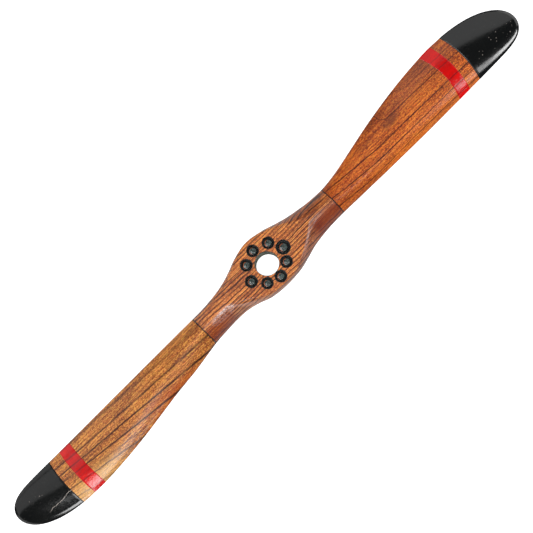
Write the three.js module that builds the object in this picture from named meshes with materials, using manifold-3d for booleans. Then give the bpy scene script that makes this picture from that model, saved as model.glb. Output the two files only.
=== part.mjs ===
// A decorative two-blade aircraft propeller, carved from wood in three pieces.
//
// The propeller lies on the flat back of its hub. +Z is the shaft axis and points out of the
// front face, +X runs along the span to the right blade, and the origin is the centre of the
// shaft bore on the hub's back face. All sizes are in millimetres.
//
// The hub and both blades follow one lofted shape. Each blade screws onto its end of the hub on
// a steel stud, and the loft is cut square across the span where they meet.

import * as THREE from "three";
import { mergeVertices } from "three/addons/utils/BufferGeometryUtils.js";
import Module from "manifold-3d";

const wasm = await Module();
wasm.setup();

// ---------------------------------------------------------------------------------------------
// Driving dimensions

const SPAN = 1200;
const HUB_THICKNESS = 38;
const SEAM_X = 155;
const SEAM_HALF_GAP = 0.3;

const BORE_RADIUS = 20.5;
const BORE_PAINT = 0.4;
const GAP = 0.3;

const PLUG_HOLE_DEPTH = 13;
const PLUG_RADIUS = 7.6;
const PLUG_RECESS = 1.6;
const PLUG_DOME = 1.2;

// The bolt holes: angle from +X in degrees, distance from the shaft axis, hole radius.
const BOLT_HOLES = [
  { angle: 0, distance: 39, radius: 12.4 },
  { angle: 42, distance: 35.2, radius: 10.4 },
  { angle: 93, distance: 32.6, radius: 10.4 },
  { angle: 139, distance: 35, radius: 10.4 },
  { angle: 184, distance: 40.2, radius: 10.6 },
  { angle: 226, distance: 33.4, radius: 10.2 },
  { angle: 272, distance: 32, radius: 10.4 },
  { angle: 320, distance: 33, radius: 10.6 },
];
const LARGE_PLUG_RADIUS = 8.6;

const STUD_Z = 15;
const STUD_RADIUS = 4.8;
const STUD_IN_HUB = 27;
const STUD_IN_BLADE = 40;
const STUD_CHAMFER = 0.9;
const STUD_CLEARANCE = 3;
const INSERT_BORE_RADIUS = 5.3;
const INSERT_RADIUS = 7.5;
const HUB_INSERT_LENGTH = 30;
const BLADE_INSERT_LENGTH = 36;
const INSERT_CHAMFER = 0.6;

const PAINT_FILM = 0.5;
const TIP_RINGS = 12;
const EDGE_INSET_FACTOR = 1.6;

// Where the paint lies along each blade, measured out from the shaft axis.
const PAINT = {
  left: { stripe: [452.5, 478], tip: 503 },
  right: { stripe: [439, 465.5], tip: 487 },
};

const POINTS_AROUND = 36;
const ROUND_SIDES = 20;
const BORE_SIDES = 40;

// ---------------------------------------------------------------------------------------------
// The lofted shape
//
// A section lies square to the span. It reaches in Y from lo to hi. Its chord line has height
// z0 on the span axis and rises by slope times Y. The front bulges by front above that line and
// the back by back below it, with exponents that run from boxy (under 1) to pointed (over 1):
// frontLo and frontHi at the two edges of the front, and backShape for the back. Crown is 2 on
// a round front and less on one with a ridge. The result is cut off softly at the hub's front
// and back planes, which leaves the flat, leaf-shaped face round the bore.

const COLUMNS = [
  "x", "lo", "hi", "z0", "slope", "front", "back", "frontLo", "frontHi", "crown", "backShape",
];

const HUB_SECTIONS = [
  [-122, -27.4, 27.6, 10, 0, 28, 18, 1.35, 0.7, 1.5, 0.6],
  [-98, -27.4, 29.4, 11, 0, 29, 20, 1.35, 0.6, 1.5, 0.6],
  [-76, -29.4, 33, 12.5, 0, 32, 24, 1.2, 0.6, 1.65, 0.65],
  [-56, -35, 39, 15, 0, 36, 28, 1.05, 0.75, 2, 0.7],
  [-32, -44, 47.4, 18, 0, 42, 34, 0.9, 0.8, 2, 0.75],
  [0, -47.4, 52.8, 19, 0, 46, 38, 0.75, 0.75, 2, 0.75],
  [34, -45.6, 47.8, 18, 0, 42, 34, 0.9, 0.9, 2, 0.75],
  [60, -39.3, 40.4, 15, 0, 36, 28, 1.1, 1.1, 2, 0.7],
  [80, -33.6, 35.3, 12.5, 0, 33, 24, 1.25, 1.2, 1.65, 0.65],
  [102, -30.2, 31.4, 11, 0, 29.5, 20, 1.4, 1.3, 1.5, 0.6],
  [124, -28.4, 28.6, 10, 0, 27, 18, 1.4, 1.3, 1.5, 0.6],
];

// The right blade from the seam outward. The left blade is the same shape turned half a turn
// about the shaft axis, apart from the sway below. The curved leading edge is hi and the
// straight trailing edge is lo.
const BLADE_SECTIONS = [
  [155, -28, 28, 9.5, 0, 25, 17, 1.3, 1.3, 1.5, 0.6],
  [185, -28.8, 31.6, 9.5, 0.07, 20.5, 12, 1.3, 1.15, 1.75, 0.8],
  [220, -29.6, 37.2, 9.6, 0.14, 16.5, 8, 1.35, 1.05, 2, 1],
  [260, -30.4, 43.2, 9.8, 0.19, 13.5, 5.5, 1.45, 1, 2, 1.1],
  [300, -31, 49.6, 10, 0.22, 11.3, 4.2, 1.5, 1, 2, 1.2],
  [350, -31.7, 56.6, 10.2, 0.24, 9.6, 3.4, 1.55, 0.95, 2, 1.2],
  [400, -32, 61.4, 10.4, 0.25, 8.5, 3, 1.6, 0.95, 2, 1.2],
  [450, -32.2, 63.8, 10.4, 0.245, 7.6, 2.7, 1.6, 0.95, 2, 1.2],
  [480, -32.4, 62.8, 10.3, 0.235, 7.2, 2.5, 1.55, 0.95, 2, 1.2],
  [520, -32.6, 61.6, 10, 0.2, 6.6, 2.4, 1.45, 0.95, 2, 1.2],
  [600, -32.6, 61.6, 9.5, 0.13, 6, 2.2, 1.3, 1, 2, 1.2],
];

// The blades were carved by eye. Near both roots the leading edge, and further out the trailing
// edge, lies this much further towards -Y than the half turn alone would put it.
const ROOT_SWAY = 3.2;
const ROOT_SWAY_X = 198;
const ROOT_SWAY_REACH = 55;
const TRAIL_SWAY = 1.2;
const TRAIL_SWAY_X = 380;
const TRAIL_SWAY_REACH = 190;

// The rounded tip: each edge closes along its own curve.
const LEAD_TIP_START = 480;
const TRAIL_TIP_START = 500;
const TRAIL_TIP_POWER = 5;
const THICKNESS_TIP_POWER = 4;

const FRONT_BLEND = 2.5;
const BACK_BLEND = 2.5;

function halfTurn(section) {
  const [x, lo, hi, z0, slope, front, back, frontLo, frontHi, crown, backShape] = section;
  return [-x, -hi, -lo, z0, -slope, front, back, frontHi, frontLo, crown, backShape];
}

const SECTIONS = [
  ...BLADE_SECTIONS.map(halfTurn).reverse(),
  ...HUB_SECTIONS,
  ...BLADE_SECTIONS,
];

// A cubic through neighbouring sections, with slopes taken across each one.
function spline(column, x) {
  const last = SECTIONS.length - 1;
  let i = 0;
  while (i < last - 1 && x > SECTIONS[i + 1][0]) i += 1;
  const knot = (k) => SECTIONS[Math.min(Math.max(k, 0), last)];
  const tangent = (k) => {
    const before = knot(k - 1);
    const after = knot(k + 1);
    return (after[column] - before[column]) / (after[0] - before[0]);
  };
  const a = knot(i);
  const b = knot(i + 1);
  const length = b[0] - a[0];
  const t = (x - a[0]) / length;
  const rise = t * t * (3 - 2 * t);
  const fromA = t * (1 - t) * (1 - t) * length * tangent(i);
  const fromB = t * t * (1 - t) * length * tangent(i + 1);
  return a[column] * (1 - rise) + b[column] * rise + fromA - fromB;
}

function tipFactor(distance, start, power) {
  const t = Math.max(0, (distance - start) / (SPAN / 2 - start));
  return Math.sqrt(Math.max(0, 1 - t ** power));
}

function bell(distance, centre, reach) {
  return Math.exp(-(((distance - centre) / reach) ** 2));
}

function sectionAt(x) {
  const section = {};
  COLUMNS.forEach((name, column) => {
    section[name] = spline(column, x);
  });
  const distance = Math.abs(x);
  const lead = tipFactor(distance, LEAD_TIP_START, 2);
  const trail = tipFactor(distance, TRAIL_TIP_START, TRAIL_TIP_POWER);
  const thickness = tipFactor(distance, LEAD_TIP_START, THICKNESS_TIP_POWER);
  const leadSway = ROOT_SWAY * bell(distance, ROOT_SWAY_X, ROOT_SWAY_REACH);
  const trailSway = TRAIL_SWAY * bell(distance, TRAIL_SWAY_X, TRAIL_SWAY_REACH);
  section.lo = (section.lo - (x > 0 ? trailSway : leadSway)) * (x > 0 ? trail : lead);
  section.hi = (section.hi - (x > 0 ? leadSway : trailSway)) * (x > 0 ? lead : trail);
  section.front *= thickness;
  section.back *= thickness;
  return section;
}

function softMin(a, b, blend) {
  const h = Math.max(blend - Math.abs(a - b), 0) / blend;
  return Math.min(a, b) - h * h * blend * 0.25;
}

// A point of the section at a given angle round it: 0 is the hi edge and the front is first.
function sectionPoint(section, angle, inset) {
  const w = Math.abs(Math.cos(angle)) > 1 - 1e-12 ? Math.sign(Math.cos(angle)) : Math.cos(angle);
  const side = (w + 1) / 2;
  const edgeInset = Math.min(inset * EDGE_INSET_FACTOR, (section.hi - section.lo) / 2);
  const y = THREE.MathUtils.lerp(section.lo + edgeInset, section.hi - edgeInset, side);
  const chord = section.z0 + section.slope * y;
  const fullness = 1 - Math.abs(w) ** section.crown;
  if (Math.sin(angle) >= 0) {
    const shape = THREE.MathUtils.lerp(section.frontLo, section.frontHi, side);
    const bulge = Math.max(section.front - inset, 0) * fullness ** (shape / 2);
    return [y, softMin(chord + bulge, HUB_THICKNESS, FRONT_BLEND)];
  }
  const bulge = Math.max(section.back - inset, 0) * fullness ** (section.backShape / 2);
  return [y, -softMin(bulge - chord, 0, BACK_BLEND)];
}

// Rings of points at given places along the span, each { x, inset }.
function ringsAt(places) {
  return places.map(({ x, inset }) => {
    const section = sectionAt(x);
    const ring = [];
    for (let i = 0; i < POINTS_AROUND; i += 1) {
      const [y, z] = sectionPoint(section, (2 * Math.PI * i) / POINTS_AROUND, inset);
      ring.push([x, y, z]);
    }
    return ring;
  });
}

function even(from, to, steps) {
  return Array.from({ length: steps + 1 }, (_, i) => from + ((to - from) * i) / steps);
}

// Places that crowd together towards the very end of the blade.
function towardsTip(from, to, steps) {
  const share = (i) => Math.sin((Math.PI / 2) * (i / steps));
  return Array.from({ length: steps + 1 }, (_, i) => from + (to - from) * share(i));
}

function at(places, inset) {
  return places.map((x) => ({ x, inset }));
}

// ---------------------------------------------------------------------------------------------
// Solids

// Joins rings into one closed skin and closes both ends with a fan. Outlines that come back to
// the first ring are left open at the ends.
function skin(rings, loop) {
  const positions = rings.flat(2);
  const indices = [];
  const n = POINTS_AROUND;
  const bands = loop ? rings.length : rings.length - 1;
  for (let r = 0; r < bands; r += 1) {
    const next = (r + 1) % rings.length;
    for (let i = 0; i < n; i += 1) {
      const j = (i + 1) % n;
      indices.push(r * n + i, next * n + i, next * n + j);
      indices.push(r * n + i, next * n + j, r * n + j);
    }
  }
  if (!loop) {
    for (const r of [0, rings.length - 1]) {
      const centre = positions.length / 3;
      const sum = rings[r].reduce((total, p) => total.map((value, k) => value + p[k]), [0, 0, 0]);
      positions.push(...sum.map((value) => value / n));
      for (let i = 0; i < n; i += 1) {
        const j = (i + 1) % n;
        if (r === 0) indices.push(centre, r * n + i, r * n + j);
        else indices.push(centre, r * n + j, r * n + i);
      }
    }
  }
  const geometry = new THREE.BufferGeometry();
  geometry.setAttribute("position", new THREE.Float32BufferAttribute(positions, 3));
  geometry.setIndex(indices);
  return geometry;
}

function weld(geometry) {
  const bare = geometry.clone();
  bare.deleteAttribute("normal");
  bare.deleteAttribute("uv");
  const merged = mergeVertices(bare, 1e-4);
  const index = merged.getIndex().array;
  const kept = [];
  for (let i = 0; i < index.length; i += 3) {
    const [a, b, c] = [index[i], index[i + 1], index[i + 2]];
    if (a !== b && b !== c && c !== a) kept.push(a, b, c);
  }
  merged.setIndex(kept);
  return merged;
}

function toSolid(geometry) {
  const merged = weld(geometry);
  const mesh = new wasm.Mesh({
    numProp: 3,
    vertProperties: new Float32Array(merged.getAttribute("position").array),
    triVerts: new Uint32Array(merged.getIndex().array),
  });
  const solid = new wasm.Manifold(mesh);
  if (solid.volume() > 0) return solid;
  const flipped = merged.getIndex().array.slice().reverse();
  return new wasm.Manifold(
    new wasm.Mesh({
      numProp: 3,
      vertProperties: mesh.vertProperties,
      triVerts: new Uint32Array(flipped),
    }),
  );
}

function toGeometry(solid) {
  const mesh = solid.getMesh();
  const geometry = new THREE.BufferGeometry();
  const positions = new Float32Array(mesh.vertProperties);
  geometry.setAttribute("position", new THREE.BufferAttribute(positions, 3));
  geometry.setIndex(new THREE.BufferAttribute(new Uint32Array(mesh.triVerts), 1));
  geometry.computeVertexNormals();
  return geometry;
}

function uprightCylinder(radius, zLow, zHigh, sides, x, y) {
  const geometry = new THREE.CylinderGeometry(radius, radius, zHigh - zLow, sides);
  geometry.rotateX(Math.PI / 2);
  geometry.translate(x, y, (zLow + zHigh) / 2);
  return geometry;
}

// Turns a profile of [radius, height] points about Z.
function turned(profile, sides) {
  const points = profile.map(([radius, height]) => new THREE.Vector2(radius, height));
  const geometry = new THREE.LatheGeometry(points, sides);
  geometry.rotateX(Math.PI / 2);
  return geometry;
}

// Lays a turned shape on the stud's line, with its height measured outward from the shaft axis.
// Outward is 1 on the right and -1 on the left.
function alongStud(geometry, outward) {
  geometry.rotateY((outward * Math.PI) / 2);
  geometry.translate(0, 0, STUD_Z);
  return geometry;
}

function chamferedRod(radius, from, to, chamfer) {
  return [
    [0, from],
    [radius - chamfer, from],
    [radius, from + chamfer],
    [radius, to - chamfer],
    [radius - chamfer, to],
    [0, to],
  ];
}

function chamferedSleeve(inner, outer, from, to, chamfer) {
  return [
    [inner, from],
    [outer - chamfer, from],
    [outer, from + chamfer],
    [outer, to - chamfer],
    [outer - chamfer, to],
    [inner, to],
    [inner, from],
  ];
}

// ---------------------------------------------------------------------------------------------
// Materials

function paintLike(hex, roughness, metalness = 0) {
  return new THREE.MeshStandardMaterial({ color: hex, roughness, metalness });
}

const material = {
  hubWood: paintLike(0x9a5a2c, 0.35),
  bladeWood: paintLike(0xa8632e, 0.35),
  blackPaint: paintLike(0x121514, 0.25),
  redPaint: paintLike(0xb81a1c, 0.3),
  plugPaint: paintLike(0x20282a, 0.25),
  steel: paintLike(0xa8abad, 0.35, 1),
  brass: paintLike(0xb08a3c, 0.35, 1),
};

// ---------------------------------------------------------------------------------------------
// Pieces

const propeller = new THREE.Group();

function add(name, solid, finish) {
  const mesh = new THREE.Mesh(toGeometry(solid), finish);
  mesh.name = name;
  propeller.add(mesh);
}

function boltPlace({ angle, distance }) {
  const turn = THREE.MathUtils.degToRad(angle);
  return [distance * Math.cos(turn), distance * Math.sin(turn)];
}

function studHole(from, to, outward) {
  const profile = chamferedRod(INSERT_RADIUS + GAP, from, to, INSERT_CHAMFER);
  return toSolid(alongStud(turned(profile, ROUND_SIDES), outward));
}

function addHub() {
  const end = SEAM_X - SEAM_HALF_GAP;
  const places = [...even(-end, -60, 7), ...even(-50, 50, 10), ...even(60, end, 7)];
  let hub = toSolid(skin(ringsAt(at(places, 0)), false));
  const woodBore = BORE_RADIUS + BORE_PAINT + GAP;
  hub = hub.subtract(toSolid(uprightCylinder(woodBore, -1, HUB_THICKNESS + 1, BORE_SIDES, 0, 0)));
  for (const hole of BOLT_HOLES) {
    const [x, y] = boltPlace(hole);
    const floor = HUB_THICKNESS - PLUG_HOLE_DEPTH;
    const drill = uprightCylinder(hole.radius, floor, HUB_THICKNESS + 1, ROUND_SIDES, x, y);
    hub = hub.subtract(toSolid(drill));
  }
  const depth = HUB_INSERT_LENGTH + 2 * GAP;
  hub = hub.subtract(studHole(end - depth, end + 1, 1));
  hub = hub.subtract(studHole(end - depth, end + 1, -1));
  add("hub", hub, material.hubWood);
}

function addBorePaint() {
  const outer = BORE_RADIUS + BORE_PAINT;
  const profile = chamferedSleeve(BORE_RADIUS, outer, GAP, HUB_THICKNESS - GAP, BORE_PAINT / 2);
  add("bore_paint", toSolid(turned(profile, BORE_SIDES)), material.blackPaint);
}

function addBoltPlugs() {
  BOLT_HOLES.forEach((hole, i) => {
    const [x, y] = boltPlace(hole);
    const radius = i === 0 ? LARGE_PLUG_RADIUS : PLUG_RADIUS;
    const rim = HUB_THICKNESS - PLUG_RECESS - PLUG_DOME;
    const profile = [
      [0, HUB_THICKNESS - PLUG_HOLE_DEPTH + GAP],
      [radius, HUB_THICKNESS - PLUG_HOLE_DEPTH + GAP],
      [radius, rim],
      [radius * 0.8, rim + PLUG_DOME * 0.55],
      [radius * 0.45, rim + PLUG_DOME * 0.9],
      [0, rim + PLUG_DOME],
    ];
    const plug = turned(profile, ROUND_SIDES);
    plug.translate(x, y, 0);
    add(`bolt_plug_${i + 1}`, toSolid(plug), material.plugPaint);
  });
}

// The paint lines differ from side to side, because they were brushed on by hand.
function addSide(side) {
  const outward = side === "left" ? -1 : 1;
  const loft = (places, loop) => {
    const placed = places.map(({ x, inset }) => ({ x: outward * x, inset }));
    return toSolid(skin(ringsAt(placed), loop));
  };

  const { stripe, tip } = PAINT[side];
  const root = SEAM_X + SEAM_HALF_GAP;
  const end = SPAN / 2;
  const under = PAINT_FILM + GAP;

  const bladePlaces = [
    ...at(even(root, 300, 8), 0),
    ...at(even(325, stripe[0] - GAP, 4), 0),
    ...at(even(stripe[0] - GAP, stripe[1] + GAP, 1), under),
    ...at([stripe[1] + GAP, tip - GAP], 0),
    ...at(towardsTip(tip - GAP, end - under - GAP, TIP_RINGS), under),
  ];
  const holeEnd = SEAM_X + STUD_IN_BLADE + STUD_CLEARANCE;
  const blade = loft(bladePlaces, false).subtract(studHole(root - 1, holeEnd, outward));
  add(`${side}_blade`, blade, material.bladeWood);

  const stripePlaces = [...at(stripe, 0), ...at([stripe[1], stripe[0]], PAINT_FILM)];
  add(`${side}_stripe_paint`, loft(stripePlaces, true), material.redPaint);

  const outer = at(towardsTip(tip, end, TIP_RINGS), 0);
  const inner = at(towardsTip(tip, end - PAINT_FILM, TIP_RINGS), PAINT_FILM);
  add(`${side}_tip_paint`, loft([...inner.reverse(), ...outer], false), material.blackPaint);

  const stud = chamferedRod(STUD_RADIUS, SEAM_X - STUD_IN_HUB, SEAM_X + STUD_IN_BLADE, STUD_CHAMFER);
  add(`${side}_stud`, toSolid(alongStud(turned(stud, ROUND_SIDES), outward)), material.steel);

  const hubEnd = SEAM_X - SEAM_HALF_GAP - GAP;
  const bladeEnd = root + GAP;
  const sleeves = {
    hub_insert: [hubEnd - HUB_INSERT_LENGTH, hubEnd],
    blade_insert: [bladeEnd, bladeEnd + BLADE_INSERT_LENGTH],
  };
  for (const [name, [from, to]] of Object.entries(sleeves)) {
    const profile = chamferedSleeve(INSERT_BORE_RADIUS, INSERT_RADIUS, from, to, INSERT_CHAMFER);
    const sleeve = toSolid(alongStud(turned(profile, ROUND_SIDES), outward));
    add(`${side}_${name}`, sleeve, material.brass);
  }
}

addHub();
addBorePaint();
addBoltPlugs();
addSide("left");
addSide("right");

export default propeller;
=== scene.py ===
import math

import bmesh
import bpy
import numpy as np
from mathutils import Matrix, Vector


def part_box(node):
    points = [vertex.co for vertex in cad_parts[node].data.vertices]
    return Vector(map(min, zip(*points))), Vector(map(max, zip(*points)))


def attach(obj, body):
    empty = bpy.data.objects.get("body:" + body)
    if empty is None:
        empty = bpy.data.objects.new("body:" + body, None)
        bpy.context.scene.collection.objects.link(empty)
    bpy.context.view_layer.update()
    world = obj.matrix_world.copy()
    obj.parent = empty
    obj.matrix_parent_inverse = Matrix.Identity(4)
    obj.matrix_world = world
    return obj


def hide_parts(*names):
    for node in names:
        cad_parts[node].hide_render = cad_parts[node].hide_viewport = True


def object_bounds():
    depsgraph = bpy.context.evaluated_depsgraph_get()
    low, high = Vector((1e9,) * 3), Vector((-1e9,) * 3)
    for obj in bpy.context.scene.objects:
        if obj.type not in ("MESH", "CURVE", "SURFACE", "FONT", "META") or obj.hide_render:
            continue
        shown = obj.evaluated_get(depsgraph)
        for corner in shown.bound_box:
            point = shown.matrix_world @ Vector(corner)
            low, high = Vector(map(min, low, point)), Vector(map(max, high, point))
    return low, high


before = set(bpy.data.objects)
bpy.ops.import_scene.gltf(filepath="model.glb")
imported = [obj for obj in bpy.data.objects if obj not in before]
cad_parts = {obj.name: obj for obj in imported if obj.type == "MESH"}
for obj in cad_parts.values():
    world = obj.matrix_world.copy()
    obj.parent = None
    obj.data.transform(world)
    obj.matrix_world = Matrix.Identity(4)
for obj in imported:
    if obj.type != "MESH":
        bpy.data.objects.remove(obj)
cad_low, cad_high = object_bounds()

# The looks of a decorative wooden propeller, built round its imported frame. Shapes are worked out
# in millimetres, as in the part's source, and MM turns them into metres.

MM = 0.001

# ------------------------------------------------------------
# Sizes, from the frame

HUB_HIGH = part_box("hub")[1]
THICKNESS = HUB_HIGH.z / MM
HALF_SPAN = cad_high[0] / MM
SEAM = (HUB_HIGH.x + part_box("right_blade")[0].x) / 2 / MM
JOINT_GAP = 0.03
HUB_END = SEAM - JOINT_GAP
BLADE_ROOT = SEAM + JOINT_GAP
BORE_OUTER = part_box("bore_paint")[1].x / MM
STUD_LOW, STUD_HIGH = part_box("right_stud")
STUD_Z = (STUD_LOW.z + STUD_HIGH.z) / 2 / MM
STUD_RADIUS = (STUD_HIGH.z - STUD_LOW.z) / 2 / MM
INSERT_LOW, INSERT_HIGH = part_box("right_hub_insert")
INSERT_RADIUS = (INSERT_HIGH.z - INSERT_LOW.z) / 2 / MM
INSERT_GAP = 0.3
SIGN = {"left": -1, "right": 1}

# ------------------------------------------------------------
# The lofted shape, as in the part's source

# A section: X, the Y of both edges, the chord's height and slope, how far the front and the back
# stand off the chord, and how full their curves are.
COLUMNS = (
    "x", "lo", "hi", "z0", "slope", "front", "back", "frontLo", "frontHi", "crown", "backShape",
)

HUB_SECTIONS = [
    [-122, -27.4, 27.6, 10, 0, 28, 18, 1.35, 0.7, 1.5, 0.6],
    [-98, -27.4, 29.4, 11, 0, 29, 20, 1.35, 0.6, 1.5, 0.6],
    [-76, -29.4, 33, 12.5, 0, 32, 24, 1.2, 0.6, 1.65, 0.65],
    [-56, -35, 39, 15, 0, 36, 28, 1.05, 0.75, 2, 0.7],
    [-32, -44, 47.4, 18, 0, 42, 34, 0.9, 0.8, 2, 0.75],
    [0, -47.4, 52.8, 19, 0, 46, 38, 0.75, 0.75, 2, 0.75],
    [34, -45.6, 47.8, 18, 0, 42, 34, 0.9, 0.9, 2, 0.75],
    [60, -39.3, 40.4, 15, 0, 36, 28, 1.1, 1.1, 2, 0.7],
    [80, -33.6, 35.3, 12.5, 0, 33, 24, 1.25, 1.2, 1.65, 0.65],
    [102, -30.2, 31.4, 11, 0, 29.5, 20, 1.4, 1.3, 1.5, 0.6],
    [124, -28.4, 28.6, 10, 0, 27, 18, 1.4, 1.3, 1.5, 0.6],
]

BLADE_SECTIONS = [
    [155, -28, 28, 9.5, 0, 25, 17, 1.3, 1.3, 1.5, 0.6],
    [185, -28.8, 31.6, 9.5, 0.07, 20.5, 12, 1.3, 1.15, 1.75, 0.8],
    [220, -29.6, 37.2, 9.6, 0.14, 16.5, 8, 1.35, 1.05, 2, 1],
    [260, -30.4, 43.2, 9.8, 0.19, 13.5, 5.5, 1.45, 1, 2, 1.1],
    [300, -31, 49.6, 10, 0.22, 11.3, 4.2, 1.5, 1, 2, 1.2],
    [350, -31.7, 56.6, 10.2, 0.24, 9.6, 3.4, 1.55, 0.95, 2, 1.2],
    [400, -32, 61.4, 10.4, 0.25, 8.5, 3, 1.6, 0.95, 2, 1.2],
    [450, -32.2, 63.8, 10.4, 0.245, 7.6, 2.7, 1.6, 0.95, 2, 1.2],
    [480, -32.4, 62.8, 10.3, 0.235, 7.2, 2.5, 1.55, 0.95, 2, 1.2],
    [520, -32.6, 61.6, 10, 0.2, 6.6, 2.4, 1.45, 0.95, 2, 1.2],
    [600, -32.6, 61.6, 9.5, 0.13, 6, 2.2, 1.3, 1, 2, 1.2],
]

ROOT_SWAY = 3.2
ROOT_SWAY_X = 198
ROOT_SWAY_REACH = 55
TRAIL_SWAY = 1.2
TRAIL_SWAY_X = 380
TRAIL_SWAY_REACH = 190

LEAD_TIP_START = 480
TRAIL_TIP_START = 500
TRAIL_TIP_POWER = 5
THICKNESS_TIP_POWER = 4

FRONT_BLEND = 2.5
BACK_BLEND = 2.5

# Where each brushed line crosses the -Y edge, the middle and the +Y edge of its blade, as a
# distance from the shaft axis.
PAINT = {
    "left": {
        "inner": (450.4, 453.0, 450.2),
        "outer": (476.4, 478.4, 473.8),
        "tip": (499.0, 501.2, 496.6),
    },
    "right": {
        "inner": (433.2, 440.2, 430.6),
        "outer": (458.6, 465.0, 457.8),
        "tip": (480.6, 486.6, 480.4),
    },
}

PAINT_SEED = {"left": 44, "right": 55}

# Each bolt hole: angle from +X in degrees, distance from the shaft axis, hole radius.
BOLT_HOLES = [
    (0, 39, 12.4),
    (42, 35.2, 10.4),
    (93, 32.6, 10.4),
    (139, 35, 10.4),
    (184, 40.2, 10.6),
    (226, 33.4, 10.2),
    (272, 32, 10.4),
    (320, 33, 10.6),
]


def half_turn(section):
    """The left blade's section: a right one turned half round the shaft axis."""
    x, lo, hi, z0, slope, front, back, front_lo, front_hi, crown, back_shape = section
    return [-x, -hi, -lo, z0, -slope, front, back, front_hi, front_lo, crown, back_shape]


SECTIONS = np.array(
    [half_turn(s) for s in reversed(BLADE_SECTIONS)] + HUB_SECTIONS + BLADE_SECTIONS, float
)


def spline(column, x):
    """A cubic through neighbouring sections, with slopes taken across each one."""
    places = SECTIONS[:, 0]
    values = SECTIONS[:, column]
    slopes = np.gradient(values, places)
    slopes[1:-1] = (values[2:] - values[:-2]) / (places[2:] - places[:-2])
    i = np.clip(np.searchsorted(places, x) - 1, 0, len(places) - 2)
    length = places[i + 1] - places[i]
    t = (x - places[i]) / length
    rise = t * t * (3 - 2 * t)
    bend = t * (1 - t) ** 2 * slopes[i] - t * t * (1 - t) * slopes[i + 1]
    return values[i] * (1 - rise) + values[i + 1] * rise + bend * length


def tip_factor(distance, start, power):
    """1 up to the start of a tip's curve, falling to 0 at the very tip."""
    t = np.clip((distance - start) / (HALF_SPAN - start), 0, 1)
    return np.sqrt(1 - t**power)


def bell(distance, centre, reach):
    return np.exp(-(((distance - centre) / reach) ** 2))


def soft_min(a, b, blend):
    h = np.clip(blend - np.abs(a - b), 0, None) / blend
    return np.minimum(a, b) - h * h * blend * 0.25


def surface(x, angle, inset=0.0):
    """Points of the loft, in millimetres. Angle 0 is the hi edge, and the front comes first."""
    x = np.broadcast_to(np.asarray(x, float), np.shape(angle))
    s = {name: spline(column, x) for column, name in enumerate(COLUMNS)}
    distance = np.abs(x)
    lead = tip_factor(distance, LEAD_TIP_START, 2)
    trail = tip_factor(distance, TRAIL_TIP_START, TRAIL_TIP_POWER)
    thin = tip_factor(distance, LEAD_TIP_START, THICKNESS_TIP_POWER)
    lead_sway = ROOT_SWAY * bell(distance, ROOT_SWAY_X, ROOT_SWAY_REACH)
    trail_sway = TRAIL_SWAY * bell(distance, TRAIL_SWAY_X, TRAIL_SWAY_REACH)
    right = x > 0
    lo = np.where(right, (s["lo"] - trail_sway) * trail, (s["lo"] - lead_sway) * lead)
    hi = np.where(right, (s["hi"] - lead_sway) * lead, (s["hi"] - trail_sway) * trail)
    edge_inset = np.minimum(inset, (hi - lo) / 2)
    lo = lo + edge_inset
    hi = hi - edge_inset
    w = np.cos(angle)
    side = (w + 1) / 2
    y = lo + (hi - lo) * side
    chord = s["z0"] + s["slope"] * y
    fullness = np.clip(1 - np.abs(w) ** s["crown"], 0, 1)
    front_shape = s["frontLo"] + (s["frontHi"] - s["frontLo"]) * side
    front = np.clip(s["front"] * thin - inset, 0, None) * fullness ** (front_shape / 2)
    back = np.clip(s["back"] * thin - inset, 0, None) * fullness ** (s["backShape"] / 2)
    z_front = soft_min(chord + front, THICKNESS - inset, FRONT_BLEND)
    z_back = -soft_min(back - chord, -inset, BACK_BLEND)
    return np.stack([x, y, np.where(np.sin(angle) >= 0, z_front, z_back)], -1)


# ------------------------------------------------------------
# Mesh building


def put(name, data):
    """Puts an object made of this data into the scene."""
    thing = bpy.data.objects.new(name, data)
    bpy.context.scene.collection.objects.link(thing)
    return thing


def ring_faces(rings, around, closed):
    faces = []
    for r in range(rings if closed else rings - 1):
        a = r * around
        b = ((r + 1) % rings) * around
        for i in range(around):
            j = (i + 1) % around
            faces.append((a + i, b + i, b + j, a + j))
    return faces


def tube_object(name, rings, closed=False, caps=True):
    """Joins rings of points in millimetres. Caps close both ends with one more point each."""
    rings = np.asarray(rings, float)
    count, around, _ = rings.shape
    points = rings.reshape(-1, 3)
    faces = ring_faces(count, around, closed)
    if not closed and caps:
        for r, turn in ((0, 1), (count - 1, -1)):
            centre = len(points)
            points = np.vstack([points, rings[r].mean(0)])
            for i in range(around):
                j = (i + 1) % around
                faces.append((centre, r * around + i, r * around + j)[::turn])
    mesh = bpy.data.meshes.new(name)
    mesh.from_pydata((points * MM).tolist(), [], faces)
    mesh.validate()
    return put(name, mesh)


def fix_normals(piece):
    """Welds the mesh, turns its faces outward and shades it smooth."""
    mesh = piece.data
    work = bmesh.new()
    work.from_mesh(mesh)
    bmesh.ops.remove_doubles(work, verts=work.verts, dist=1e-7)
    bmesh.ops.recalc_face_normals(work, faces=work.faces)
    if work.calc_volume(signed=True) < 0:
        bmesh.ops.reverse_faces(work, faces=work.faces)
    work.to_mesh(mesh)
    work.free()
    mesh.shade_smooth()
    return piece


def sharpen(piece, degrees):
    """Shades corners steeper than this as corners, so that flat faces stay flat."""
    mesh = piece.data
    work = bmesh.new()
    work.from_mesh(mesh)
    limit = math.radians(degrees)
    for edge in work.edges:
        edge.smooth = len(edge.link_faces) == 2 and edge.calc_face_angle(0) < limit
    work.to_mesh(mesh)
    work.free()
    return piece


def apply_modifiers(piece):
    """Replaces a piece's mesh by what its modifiers make of it."""
    graph = bpy.context.evaluated_depsgraph_get()
    mesh = bpy.data.meshes.new_from_object(piece.evaluated_get(graph))
    old = piece.data
    piece.modifiers.clear()
    piece.data = mesh
    mesh.name = piece.name
    bpy.data.meshes.remove(old)


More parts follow.
